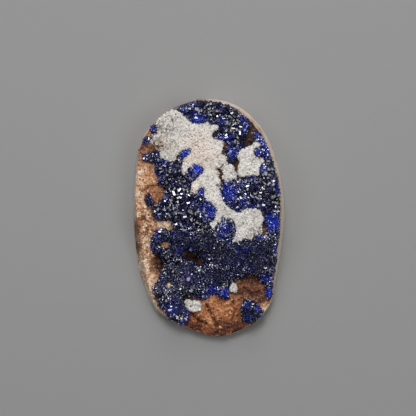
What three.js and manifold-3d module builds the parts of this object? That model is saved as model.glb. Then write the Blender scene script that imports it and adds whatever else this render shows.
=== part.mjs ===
// Azurite specimen: an oval slab of iron-stained rock, ground at its sides and sawn flat on its back.
// Its natural face, upwards, carries a white crust and druses of small flat-faced azurite crystals.
// Millimetres, +Z up, +Y towards the end with the azurite crown, origin under the middle of the flat back.
import * as THREE from "three";
import { ImprovedNoise } from "three/addons/math/ImprovedNoise.js";
import { mergeVertices } from "three/addons/utils/BufferGeometryUtils.js";
import manifoldModule from "manifold-3d";

const wasm = await manifoldModule();
wasm.setup();

// Driving dimensions
const LENGTH = 42; // over the oval, along Y
const WIDTH = 26.65; // over the oval, along X
const PLATEAU = 6.3; // rock under the white crust
const LEDGE_DROP = 2.5; // from the plateau down to the lower terrace
const LEDGE_RUN = 5.5; // how far the ledge slopes along Y
const LEDGE_AT = -2.4; // Y of the ledge's upper edge in the middle
const LEDGE_SKEW = -0.14; // the ledge lies further down at the right
const DOME = 0.6; // fall of the plateau from its middle to its ends
const DOME_Y = 4; // the plateau's highest place along Y
const DOME_REACH = 16.8; // and how far from it along Y the fall is complete
// The bare rock at the left lies lower, and so does that beside the crown
const WEST_STEP = { drop: 0.6, from: 8.6, to: 10, lowEnd: -6, highEnd: -2 };
const EAST_STEP = { drop: 0.7, from: 6.2, to: 7.4, lowEnd: 12.4, highEnd: 13.4 };
// Unevenness of the natural face and of the white crust
const LUMPS = [
  { height: 0.55, size: 4.2, layer: 1.5 },
  { height: 0.25, size: 1.7, layer: 7.5 },
];
const WHITE_LUMP = { height: 0.35, size: 1.3, layer: 3.5 };
const SEAT = 0.2; // between the rock and what grows on it
const SIDE_GAP = 0.3; // between the white crust and the azurite
const WHITE_THICK = 0.75;
const AZURITE_EDGE = 0.55; // thickness of a druse at its margin
const AZURITE_MOUND = 0.55; // how much thicker it is inside
const MOUND_REACH = 1.8; // distance from the margin to full thickness
const WALL_INSET = 0.45; // lean of the ground sides at plateau height
const ROCK_STEP = 1.55; // facet size of the rock
const CRUST_STEP = 1.6; // facet size of the crusts
const TALL = 12; // clear above everything
const OUTLINE_STEPS = 80;

// One crystal: a wedge with a ridge along its upper end
const CRYSTAL = { width: 0.95, depth: 1.35, height: 0.78, root: 0.42, ridge: 0.6, lean: 0.16, tilt: 0.55 };
const CRYSTAL_SPACING = 1.85;
const CRYSTAL_STRAY = 0.4; // how far one stands off its row, in spacings
const CRYSTAL_SCALE = { least: 0.75, range: 0.5 };
const CRYSTAL_SEED = 11;
const CRYSTAL_MARGIN = 0.35; // a crystal stands at least this far inside its druse

// Ground facets that lean in further than the rest of the side, by direction from the middle in degrees
const BEVELS = [
  { towards: 58, spread: 24, inset: 0.7 },
  { towards: 212, spread: 26, inset: 2.0 },
  { towards: 322, spread: 20, inset: 0.5 },
  { towards: 0, spread: 40, inset: 0.35 },
];

// Pits in the natural face: middle, half-axes, turn in degrees and depth
const PITS = [
  { x: -2.8, y: -7.2, a: 3.0, b: 1.3, turn: -28, depth: 1.7 },
  { x: -9.2, y: -8.7, a: 1.2, b: 3.0, turn: -10, depth: 1.0 },
  { x: -3.9, y: -14.0, a: 1.4, b: 0.9, turn: -20, depth: 0.7 },
  { x: 6.8, y: -11.4, a: 3.0, b: 1.2, turn: 0, depth: 0.6 },
  { x: -9.6, y: 4.2, a: 1.9, b: 1.5, turn: 20, depth: 0.5 },
];
// Where the wall of a pit begins and ends, in shares of its half-axes
const PIT_WALL = { foot: 0.2, rim: 1.2 };

const CUT_OUTLINE = [
  [-0.7, 21], [4.1, 20.2], [7.8, 17.7], [10.4, 14.1], [12.1, 9.5], [13.1, 4.5], [13.3, -0.5], [12.7, -5.8],
  [11.8, -11.1], [10.9, -15.3], [8.8, -17.9], [5.1, -20.2], [1.8, -21], [-2.1, -20.2], [-6, -18.5],
  [-9.2, -16.5], [-11.1, -13], [-12.4, -9], [-13.1, -3.6], [-13.3, 2.2], [-13, 8], [-12, 13.5], [-9.7, 16.9],
  [-6.2, 19.4],
];

const CROWN = [
  [-6.4, 19.1], [-5, 20.2], [-2.3, 21.3], [0.7, 21.1], [2.7, 20.1], [3.7, 19.5], [5, 18.8], [5.7, 18],
  [6.9, 17.3], [7, 16.2], [6.5, 15.3], [6.4, 14.1], [5.7, 12.6], [4.8, 10.7], [4.2, 10.2], [4.1, 9.6],
  [3.5, 9.4], [3.1, 10], [3.3, 10.7], [2.9, 11.8], [3.5, 13.7], [1.4, 13.7], [0.7, 14.1], [0.8, 14.9],
  [1.8, 15.5], [1.9, 16.4], [1.1, 16.8], [0.4, 16.3], [-0.1, 17], [-1.8, 16.6], [-3.2, 16.7], [-4.6, 18.5],
];

const MAIN_LOBES = {
  leftArm: [[-11.9, 10.4], [-11.3, 11], [-9.8, 11.6], [-9, 11.2], [-8.3, 10.2], [-9.4, 9.6], [-11, 10]],
  leftCluster: [
    [-9.7, 10.2], [-8.5, 10.4], [-7.3, 9.8], [-5.8, 9.7], [-5, 8.7], [-4.6, 7], [-3.4, 4.8], [-4.1, 3.4],
    [-6.9, 3.4], [-7.6, 4.7], [-7.8, 5.8], [-8.8, 5.8], [-9, 6.3], [-8.5, 6.8], [-9.4, 8],
  ],
  longFinger: [
    [-6, 9.3], [-5.8, 10.7], [-5.1, 11.4], [-4.2, 11.9], [-3.4, 12.1], [-3.2, 11.6], [-4.6, 10.2], [-5, 8.8],
  ],
  blueFinger: [
    [-4.2, 6.3], [-4, 7.7], [-3.5, 8.7], [-2.8, 9.3], [-1.8, 9.2], [-1.1, 8.7], [-1.2, 8], [-3.2, 6],
    [-3.3, 4.6], [-4.6, 4.8],
  ],
  middle: [
    [-8.5, 2.9], [-7.8, 4.1], [-7.6, 5.2], [-6, 5.4], [-3.4, 4.7], [-2.3, 3.9], [-1.9, 4.8], [-1.4, 5.2],
    [-0.9, 4.8], [-1.1, 3.8], [-0.7, 3], [0.4, 2.5], [1.1, 1.7], [1.1, 0.6], [0.5, -0.5], [-0.2, -0.9],
    [0.5, -2.1], [0.9, -3.3], [-5.8, -3.3], [-6.4, -0.9], [-6.7, -0.3], [-8.7, -0.4], [-9.7, 0.1], [-10, 1],
    [-9.4, 1.8],
  ],
  leftSpur: [
    [-11.2, 3.4], [-10.8, 4.2], [-10.3, 3.8], [-9.9, 2.6], [-8.8, 2.2], [-9.1, 1.1], [-10.1, 1.7],
    [-10.9, 2.4],
  ],
  middleLobe: [
    [0.5, -3.3], [1.2, -2.1], [1.4, -0.7], [1.9, -1.3], [2.3, -1.1], [2.1, -0.3], [2.5, 0.2], [3.3, -0.6],
    [3.6, -0.3], [4.2, -0.4], [4.4, -1.2], [4.6, -2.4], [4.3, -3.6], [3.7, -4.3], [2.3, -5.1], [0.7, -5.1],
  ],
  rightMass: [
    [1.9, 5], [2.3, 5.7], [3, 6.3], [3.7, 6], [5.3, 6.9], [7.1, 7.3], [8.8, 7.3], [8.9, 8.7], [10.1, 10.2],
    [11.6, 9.5], [12.1, 7], [12.3, 3.8], [12.3, 0.6], [12.2, -0.8], [10.1, -0.8], [9, 1.6], [7.8, 1.8],
    [6.7, 1.7], [5.5, 0.9], [3.5, 1.8], [2.7, 2.7],
  ],
  rightKnot: [
    [7.9, 14.2], [8.3, 14.9], [9, 15], [9.9, 14.6], [10.5, 13.7], [10.6, 12.6], [11.2, 11.9], [11, 10.9],
    [11.3, 10.2], [10.8, 9.1], [9.9, 9.6], [9.6, 10.7], [8.4, 10.7], [7.8, 11.2], [8.1, 12.1], [9, 12.4],
    [9.3, 12.9], [8.1, 13.6],
  ],
  rightRim: [
    [9.9, 1], [12.3, 1], [12.3, -0.8], [12.2, -3.3], [12, -5.1], [9.4, -5.1], [9.4, -3.8], [10, -3.3],
    [10.3, -1.5], [9.9, -0.5],
  ],
  lowerBand: [
    [-10.2, -5.1], [-10.1, -3.5], [-9.2, -2.4], [-8.5, -1.8], [-6.7, -2.5], [-5.5, -2], [-1.6, -1.2],
    [0.9, -2.6], [3, -4.7], [5.1, -4.4], [6, -3.8], [7.4, -3.9], [8.5, -3], [9.7, -3.3], [12.2, -2.6],
    [11.9, -5.8], [11.6, -8.2], [11.1, -11.4], [10.8, -14.1], [10.2, -14.2], [10, -11.6], [9.2, -11.2],
    [8.3, -9.9], [7.6, -9.6], [6.5, -10.4], [5.3, -10.6], [3.7, -11.2], [3.3, -11.8], [3.4, -14.1],
    [2.7, -14.4], [1.1, -13.3], [0.2, -13], [-0.1, -14.2], [-0.9, -14.4], [-1.9, -14.3], [-2.8, -13.9],
    [-4.1, -13.4], [-5, -13.9], [-4.7, -15.4], [-4, -16.5], [-3.7, -18], [-5, -19], [-7.1, -17.8],
    [-7.7, -16.2], [-8.7, -15.7], [-9.1, -14.4], [-9.9, -12.5], [-9.1, -11.4], [-8.4, -9.7], [-7.6, -8.4],
    [-8, -7.5], [-9.7, -6],
  ],
};

// Bare rock that shows through the main druse
const MAIN_WINDOWS = [
  [
    [-5.3, -6.2], [-4.1, -5.7], [-2.5, -6.1], [-1.1, -7.2], [-0.5, -8.3], [-1.2, -8.8], [-2.3, -8.2],
    [-3.5, -7.6], [-4.8, -7.2],
  ],
  [[-9, -4.6], [-7.9, -4], [-6.8, -4.1], [-6.4, -4.8], [-7.2, -5.6], [-8.5, -5.5]],
  [[-7.8, -11.5], [-6.9, -11], [-6.2, -11.6], [-6.4, -12.4], [-7.2, -12.8], [-7.8, -12.2]],
  [[3.3, -8.7], [3.9, -8.4], [4.3, -8.9], [3.9, -9.5], [3.4, -9.4]],
];

const ROSETTE = [
  [5.8, -15.5], [6.1, -14.7], [6.9, -14.4], [8, -14.9], [9, -16], [9.5, -16.7], [8.8, -17.7], [7.9, -18.4],
  [6.7, -18.5], [6, -18.2], [5.8, -16.9],
];
const SPECK_WEST = [[-10.3, 15.6], [-10, 16.4], [-9.4, 16.5], [-9.1, 15.5], [-9.7, 14.7]];
const NUB_WEST = [
  [-11.7, 13.7], [-11, 14], [-10.3, 14.4], [-9.9, 13.9], [-10.6, 13.4], [-11.2, 12.9], [-11.7, 13.2],
];

const WHITE_MAIN = [
  [-6.5, 19], [-7.8, 18.5], [-8.8, 17.7], [-9.3, 16.9], [-9.1, 15.5], [-9.9, 14.1], [-10, 12.9], [-9, 12.3],
  [-8.1, 11.7], [-8.7, 10.9], [-8.1, 9.6], [-5.8, 8.7], [-4.4, 5.6], [-1.9, 3.1], [-0.5, 0.2], [0, -1.5],
  [0.9, -3.1], [1.8, -5.2], [2.7, -5.7], [5.5, -5.1], [8, -4], [8.9, -3.2], [9, -1.5], [9.7, 0.8], [9.4, 2.2],
  [2.7, 3.1], [1.8, 4.9], [1.75, 6.1], [1.4, 7.3], [1.45, 8.2], [1, 8.7], [1.4, 9.2], [2.5, 9.6], [3, 10],
  [2.6, 10.7], [1.9, 11], [2.1, 12.6], [2.7, 14.1], [2.3, 15.8], [-3.4, 17.6], [-4.8, 18.9],
];
// Grown together with the main crust at its upper left, with a crack between them below
const WHITE_BLOCK = [
  [1.2, 9.05], [2.3, 9.7], [3.1, 9.5], [3.9, 9.1], [4.1, 8.8], [4.5, 7.9], [4.6, 7], [4.3, 6.8], [3.7, 6.9],
  [3.3, 6.3], [2.9, 6.3], [2.65, 7.2], [2.5, 8], [2.35, 8.6],
];
const WHITE_EAST = [
  [5.6, 11.8], [7.6, 12.5], [8.2, 13.2], [8.8, 13.3], [9.6, 12.6], [10.1, 10.2], [8.8, 7], [5.5, 6.8],
  [5.2, 8.9], [5.6, 9.8], [5.1, 10.7],
];
const NUB_SOUTH_WEST = [
  [-4.1, -14.8], [-3.6, -14.7], [-1.9, -15], [-1.5, -15.4], [-1.7, -16], [-2.2, -16.5], [-2.8, -16.5],
  [-3.4, -16.1],
];
const NUB_SOUTH_EAST = [
  [4.2, -11.6], [4.7, -11.9], [4.9, -12.6], [4.7, -13], [4.2, -13.1], [3.9, -12.9], [3.8, -12.3],
];

const noise = new ImprovedNoise();
const { smoothstep, degToRad, seededRandom } = THREE.MathUtils;

// Height of the natural face of the rock
function relief(x, y) {
  const dome = DOME * ((x / (WIDTH / 2)) ** 2 + ((y - DOME_Y) / DOME_REACH) ** 2);
  const belowLedge = LEDGE_AT + LEDGE_SKEW * x - y;
  const ledge = LEDGE_DROP * smoothstep(belowLedge, 0, LEDGE_RUN);
  const steps = stepDrop(WEST_STEP, -x, y) + stepDrop(EAST_STEP, x, y);
  const lumps = LUMPS.reduce((sum, lump) => sum + lumpAt(lump, x, y), 0);
  return PLATEAU - dome - ledge - steps + lumps - pitDepth(x, y);
}

function stepDrop(step, outwards, y) {
  return step.drop * smoothstep(outwards, step.from, step.to) * smoothstep(y, step.lowEnd, step.highEnd);
}

function lumpAt(lump, x, y) {
  return lump.height * noise.noise(x / lump.size, y / lump.size, lump.layer);
}

function pitDepth(x, y) {
  let depth = 0;
  for (const pit of PITS) {
    const turn = degToRad(pit.turn);
    const along = (x - pit.x) * Math.cos(turn) + (y - pit.y) * Math.sin(turn);
    const across = (y - pit.y) * Math.cos(turn) - (x - pit.x) * Math.sin(turn);
    const reach = Math.hypot(along / pit.a, across / pit.b);
    depth += pit.depth * (1 - smoothstep(reach, PIT_WALL.foot, PIT_WALL.rim));
  }
  return depth;
}

// Distance from a point inside an outline to its nearest edge, or 0 outside it
function depthInside(outline, x, y) {
  let inside = false;
  let nearest = Infinity;
  outline.forEach(([ax, ay], i) => {
    const [bx, by] = outline[(i + 1) % outline.length];
    if (ay > y !== by > y && x < ax + ((y - ay) * (bx - ax)) / (by - ay)) {
      inside = !inside;
    }
    const span = (bx - ax) ** 2 + (by - ay) ** 2;
    const t = THREE.MathUtils.clamp(((x - ax) * (bx - ax) + (y - ay) * (by - ay)) / span, 0, 1);
    nearest = Math.min(nearest, Math.hypot(x - ax - t * (bx - ax), y - ay - t * (by - ay)));
  });
  return inside ? nearest : 0;
}

function depthInDruse(druse, x, y) {
  if (druse.windows.some((window) => depthInside(window, x, y) > 0)) {
    return 0;
  }
  return Math.max(...druse.lobes.map((lobe) => depthInside(lobe, x, y)));
}

function toSolid(geometry) {
  geometry.deleteAttribute("normal");
  geometry.deleteAttribute("uv");
  const merged = mergeVertices(geometry);
  const mesh = new wasm.Mesh({
    numProp: 3,
    vertProperties: new Float32Array(merged.attributes.position.array),
    triVerts: new Uint32Array(merged.index.array),
  });
  return new wasm.Manifold(mesh);
}

function toMesh(name, solid, material) {
  const { vertProperties, triVerts } = solid.getMesh();
  const geometry = new THREE.BufferGeometry();
  geometry.setAttribute("position", new THREE.BufferAttribute(vertProperties, 3));
  geometry.setIndex(new THREE.BufferAttribute(triVerts, 1));
  geometry.computeVertexNormals();
  const mesh = new THREE.Mesh(geometry, material);
  mesh.name = name;
  return mesh;
}

function largestBody(solid) {
  const bodies = solid.decompose();
  return bodies.reduce((best, body) => (body.volume() > best.volume() ? body : best));
}

function toShape(outline) {
  return new THREE.Shape(outline.map(([x, y]) => new THREE.Vector2(x, y)));
}

// Upright prism on an outline, from below the rock to above everything, wider by grow all round
function prism(outline, grow = 0) {
  const geometry = new THREE.ExtrudeGeometry(toShape(outline), {
    depth: TALL + 2,
    bevelEnabled: grow > 0,
    bevelSize: grow,
    bevelThickness: grow,
    bevelSegments: 1,
  });
  return toSolid(geometry.translate(0, 0, -1));
}

// Block whose upper face follows a height
function terrain(heightAt, step) {
  const geometry = new THREE.BoxGeometry(
    WIDTH + 2 * step, LENGTH + 2 * step, 2, Math.round(WIDTH / step) + 2, Math.round(LENGTH / step) + 2, 1,
  );
  const points = geometry.attributes.position;
  for (let i = 0; i < points.count; i++) {
    const top = points.getZ(i) > 0;
    points.setZ(i, top ? heightAt(points.getX(i), points.getY(i)) : -1);
  }
  return toSolid(geometry);
}

// The oval block that the saw and the grinding wheel leave, its sides leaning in
function cutBlock() {
  const corners = CUT_OUTLINE.map(([x, y]) => new THREE.Vector3(x, y, 0));
  const oval = new THREE.CatmullRomCurve3(corners, true).getSpacedPoints(OUTLINE_STEPS).slice(0, -1);
  const box = new THREE.Box3().setFromPoints(oval);
  const middle = box.getCenter(new THREE.Vector3());
  const size = box.getSize(new THREE.Vector3());
  const outline = oval.map((point) => {
    point.sub(middle);
    return [(point.x * WIDTH) / size.x, (point.y * LENGTH) / size.y];
  });
  const geometry = new THREE.ExtrudeGeometry(toShape(outline), { depth: TALL, bevelEnabled: false });
  const points = geometry.attributes.position;
  for (let i = 0; i < points.count; i++) {
    if (points.getZ(i) > 0) {
      const x = points.getX(i);
      const y = points.getY(i);
      const keep = 1 - (insetTowards(x, y) * TALL) / PLATEAU / Math.hypot(x, y);
      points.setXY(i, x * keep, y * keep);
    }
  }
  return toSolid(geometry);
}

function insetTowards(x, y) {
  const direction = THREE.MathUtils.radToDeg(Math.atan2(y, x));
  let inset = WALL_INSET;
  for (const bevel of BEVELS) {
    const apart = THREE.MathUtils.euclideanModulo(direction - bevel.towards + 180, 360) - 180;
    inset += bevel.inset * Math.exp(-((apart / bevel.spread) ** 2));
  }
  return inset;
}

// A wedge-shaped crystal whose ridge is shorter than its foot and leans, as monoclinic crystals do
function crystalGeometry(scale) {
  const { width, depth, height, root, ridge, lean } = CRYSTAL;
  const profile = [[-width / 2, 0], [width / 2, 0], [lean * width, height + root]];
  const geometry = new THREE.ExtrudeGeometry(toShape(profile), { depth, bevelEnabled: false });
  geometry.rotateX(Math.PI / 2).translate(0, depth / 2, -root);
  const points = geometry.attributes.position;
  for (let i = 0; i < points.count; i++) {
    if (points.getZ(i) > 0) {
      points.setY(i, points.getY(i) * ridge);
    }
  }
  return geometry.scale(scale, scale, scale);
}

function crystalsOf(druse, heightAt) {
  const crystals = [];
  const place = new THREE.Object3D();
  const columns = Math.ceil(WIDTH / 2 / CRYSTAL_SPACING);
  const rows = Math.ceil(LENGTH / 2 / CRYSTAL_SPACING);
  for (let row = -rows; row <= rows; row++) {
    for (let column = -columns; column <= columns; column++) {
      const x = (column + 0.5 * (row % 2) + CRYSTAL_STRAY * (seededRandom() - 0.5)) * CRYSTAL_SPACING;
      const y = (row + CRYSTAL_STRAY * (seededRandom() - 0.5)) * CRYSTAL_SPACING;
      const scale = CRYSTAL_SCALE.least + CRYSTAL_SCALE.range * seededRandom();
      const turn = Math.PI * seededRandom();
      const tiltX = CRYSTAL.tilt * (2 * seededRandom() - 1);
      const tiltY = CRYSTAL.tilt * (2 * seededRandom() - 1);
      if (depthInDruse(druse, x, y) < CRYSTAL_MARGIN) {
        continue;
      }
      place.position.set(x, y, heightAt(x, y));
      place.rotation.set(tiltX, tiltY, turn);
      place.updateMatrix();
      crystals.push(toSolid(crystalGeometry(scale).applyMatrix4(place.matrix)));
    }
  }
  return wasm.Manifold.union(crystals);
}

const block = cutBlock();
const ground = terrain(relief, ROCK_STEP);
const seat = ground.translate([0, 0, SEAT]);

function azuriteHeight(druse) {
  return (x, y) => {
    const mound = AZURITE_MOUND * smoothstep(depthInDruse(druse, x, y), 0, MOUND_REACH);
    return relief(x, y) + SEAT + AZURITE_EDGE + mound;
  };
}

function regionOf(druse, grow) {
  const lobes = wasm.Manifold.union(druse.lobes.map((lobe) => prism(lobe, grow)));
  return druse.windows.reduce((region, window) => region.subtract(prism(window)), lobes);
}

function azurite(druse) {
  const height = azuriteHeight(druse);
  const crust = terrain(height, CRUST_STEP).intersect(regionOf(druse, 0));
  const grown = crust.add(crystalsOf(druse, height)).intersect(regionOf(druse, SIDE_GAP / 2));
  return largestBody(grown.intersect(block).subtract(seat));
}

function whiteHeight(x, y) {
  return relief(x, y) + SEAT + WHITE_THICK + lumpAt(WHITE_LUMP, x, y);
}

const whiteTop = terrain(whiteHeight, CRUST_STEP);

function white(outlines, keepClear) {
  const region = wasm.Manifold.union(outlines.map((outline) => prism(outline)));
  const crust = whiteTop.intersect(region).intersect(block).subtract(seat);
  return largestBody(keepClear.reduce((rest, region) => rest.subtract(region), crust));
}

function stone(color, roughness) {
  return new THREE.MeshStandardMaterial({ color, roughness, flatShading: true });
}

const rockMaterial = () => stone("#9a6a4a", 0.9);
const whiteMaterial = () => stone("#cdc7bd", 0.7);
const azuriteMaterial = () => stone("#1c2362", 0.2);

const druses = {
  azurite_main: { lobes: Object.values(MAIN_LOBES), windows: MAIN_WINDOWS },
  azurite_crown: { lobes: [CROWN], windows: [] },
  azurite_rosette: { lobes: [ROSETTE], windows: [] },
  azurite_speck_west: { lobes: [SPECK_WEST], windows: [] },
  azurite_nub_west: { lobes: [NUB_WEST], windows: [] },
};
const whites = {
  white_crust_main: [WHITE_MAIN, WHITE_BLOCK],
  white_crust_east: [WHITE_EAST],
  white_nub_south_west: [NUB_SOUTH_WEST],
  white_nub_south_east: [NUB_SOUTH_EAST],
};

const specimen = new THREE.Group();
specimen.add(toMesh("matrix", ground.intersect(block), rockMaterial()));
seededRandom(CRYSTAL_SEED);
for (const [name, druse] of Object.entries(druses)) {
  specimen.add(toMesh(name, azurite(druse), azuriteMaterial()));
}
const keepClear = Object.values(druses).map((druse) => regionOf(druse, SIDE_GAP));
for (const [name, outlines] of Object.entries(whites)) {
  specimen.add(toMesh(name, white(outlines, keepClear), whiteMaterial()));
}

export default specimen;
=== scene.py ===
import math

import bpy
import numpy as np
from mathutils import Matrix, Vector, noise
from mathutils.bvhtree import BVHTree
from mathutils.kdtree import KDTree


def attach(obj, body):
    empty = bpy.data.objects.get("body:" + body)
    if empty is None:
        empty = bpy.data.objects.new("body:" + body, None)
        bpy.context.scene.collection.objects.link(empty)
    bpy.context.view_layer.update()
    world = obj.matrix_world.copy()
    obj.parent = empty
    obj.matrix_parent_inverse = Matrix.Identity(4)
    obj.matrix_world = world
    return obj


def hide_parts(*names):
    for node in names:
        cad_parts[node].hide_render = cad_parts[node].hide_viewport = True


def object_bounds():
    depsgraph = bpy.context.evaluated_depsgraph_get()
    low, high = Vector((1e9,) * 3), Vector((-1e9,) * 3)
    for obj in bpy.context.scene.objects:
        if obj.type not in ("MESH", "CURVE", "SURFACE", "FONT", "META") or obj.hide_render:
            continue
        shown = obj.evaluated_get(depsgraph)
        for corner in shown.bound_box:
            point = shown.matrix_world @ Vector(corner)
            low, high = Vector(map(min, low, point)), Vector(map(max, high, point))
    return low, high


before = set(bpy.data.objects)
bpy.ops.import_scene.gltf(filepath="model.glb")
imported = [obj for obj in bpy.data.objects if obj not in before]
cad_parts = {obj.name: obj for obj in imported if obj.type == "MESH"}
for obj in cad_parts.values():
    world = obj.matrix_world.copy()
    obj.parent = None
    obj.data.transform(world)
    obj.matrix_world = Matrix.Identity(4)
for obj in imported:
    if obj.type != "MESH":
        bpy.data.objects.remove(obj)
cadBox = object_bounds()
mm = 0.001
mergeReach = 0.002 * mm  # the loose triangles of a solid meet within this


# small helpers

def makeActive(obj):
    bpy.ops.object.select_all(action="DESELECT")
    obj.select_set(True)
    bpy.context.view_layer.objects.active = obj


def applyModifier(obj, kind, **settings):
    makeActive(obj)
    modifier = obj.modifiers.new(kind.lower(), kind)
    for key, value in settings.items():
        setattr(modifier, key, value)
    bpy.ops.object.modifier_apply(modifier=modifier.name)


def copyOfNode(node, name):
    obj = bpy.data.objects.new(name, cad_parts[node].data.copy())
    obj.data.name = name
    obj.data.materials.clear()
    bpy.context.collection.objects.link(obj)
    makeActive(obj)
    bpy.ops.object.mode_set(mode="EDIT")
    bpy.ops.mesh.select_all(action="SELECT")
    bpy.ops.mesh.remove_doubles(threshold=mergeReach)
    bpy.ops.object.mode_set(mode="OBJECT")
    return obj


def readPoints(mesh):
    points = np.empty(len(mesh.vertices) * 3)
    mesh.vertices.foreach_get("co", points)
    return points.reshape(-1, 3)


def writePoints(mesh, points):
    mesh.vertices.foreach_set("co", points.ravel())
    mesh.update()


def readNormals(mesh):
    normals = np.empty(len(mesh.vertices) * 3)
    mesh.vertices.foreach_get("normal", normals)
    return normals.reshape(-1, 3)


def writeValue(mesh, name, values):
    if name not in mesh.attributes:
        mesh.attributes.new(name, "FLOAT", "POINT")
    mesh.attributes[name].data.foreach_set("value", np.asarray(values, dtype=np.float32))


def writeGroup(obj, name, weights):
    group = obj.vertex_groups.new(name=name)
    for i, weight in enumerate(weights):
        group.add([i], float(weight), "REPLACE")


def smoothStep(low, high, x):
    t = np.clip((x - low) / (high - low), 0, 1)
    return t * t * (3 - 2 * t)


def noiseAt(points, size):
    # smooth noise about zero, its features that many millimetres large
    return np.array([noise.noise(Vector(p) / (size * mm)) for p in points])


def treeOf(obj):
    mesh = obj.data
    return BVHTree.FromPolygons([v.co for v in mesh.vertices], [p.vertices for p in mesh.polygons])


def heightUnder(tree, x, y):
    aboveAll = 50 * mm
    hit = tree.ray_cast(Vector((x, y, aboveAll)), Vector((0, 0, -1)))[0]
    return None if hit is None else hit.z


def displace(obj, name, size, height, group="", direction="NORMAL", **settings):
    texture = bpy.data.textures.new(name, "CLOUDS")
    texture.noise_scale = size * mm
    for key, value in settings.items():
        setattr(texture, key, value)
    applyModifier(obj, "DISPLACE", texture=texture, texture_coords="LOCAL", strength=height * mm,
                  mid_level=0.5, vertex_group=group, direction=direction)


def spotValues(points, spots):
    # strongest of some round spots, each with x, y and reach in mm and its strength
    values = np.zeros(len(points))
    for x, y, reach, strength in spots:
        away = np.hypot(points[:, 0] / mm - x, points[:, 1] / mm - y) / reach
        values = np.maximum(values, strength * np.exp(-away ** 2))
    return values


def crackDepths(points, cracks):
    # deepest of some cracks, each with its width and depth and then its corners in mm
    depths = np.zeros(len(points))
    flat = points[:, :2] / mm
    for width, depth, *corners in cracks:
        for a, b in zip(np.array(corners), np.array(corners[1:])):
            along = np.clip((flat - a) @ (b - a) / ((b - a) @ (b - a)), 0, 1)
            away = np.linalg.norm(flat - a - along[:, None] * (b - a), axis=1)
            depths = np.maximum(depths, depth * mm * np.exp(-(away / width) ** 2))
    return depths


def joinInto(obj, others):
    makeActive(obj)
    for other in others:
        other.select_set(True)
    bpy.ops.object.join()


def finishPiece(obj, node, material):
    obj.data.materials.clear()
    obj.data.materials.append(material)
    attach(obj, "root")
    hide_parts(node)


# materials

def hexToLinear(code):
    channels = [int(code[i:i + 2], 16) / 255 for i in (1, 3, 5)]
    return [c / 12.92 if c <= 0.04045 else ((c + 0.055) / 1.055) ** 2.4 for c in channels] + [1.0]


def perMm(size):
    return 1 / (size * mm)  # texture scale whose features are that many millimetres


def addNode(tree, kind, values=None, links=None, stops=None, **settings):
    node = tree.nodes.new("ShaderNode" + kind)
    for key, value in settings.items():
        setattr(node, key, value)
    for key, value in (values or {}).items():
        node.inputs[key].default_value = value
    for key, source in (links or {}).items():
        tree.links.new(source, node.inputs[key])
    if stops:
        elements = node.color_ramp.elements
        while len(elements) < len(stops):
            elements.new(0.5)
        for element, (position, code) in zip(elements, stops):
            element.position = position
            element.color = hexToLinear(code)
    return node


def newMaterial(name):
    material = bpy.data.materials.new(name)
    material.use_nodes = True
    tree = material.node_tree
    return material, tree, tree.nodes["Principled BSDF"]


rockLook = {
    "greyStops": [(0.0, "#15100e"), (0.25, "#4a3b33"), (0.55, "#958270"),
                  (0.8, "#cdbca6"), (1.0, "#ece2d2")],
    "rustStops": [(0.0, "#1a0a05"), (0.25, "#5c2e1b"), (0.5, "#aa683c"),
                  (0.75, "#d9a274"), (1.0, "#efd8bc")],
    "patchSize": 1.9,
    "patchTone": 0.6,
    "grainSize": 0.36,
    "grainTone": 0.8,
    "toneDrop": 0.68,  # about what patches and grains add on average
    "paintedReliefShade": 0.45,  # painted light and shade: lighter on what stands out and darker where it sinks, per mm
    "mottleSize": 0.9,
    "mottleTone": 0.22,
    "fleckSize": 0.5,
    "fleckTone": 0.6,
    "roughness": 0.85,
}


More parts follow.
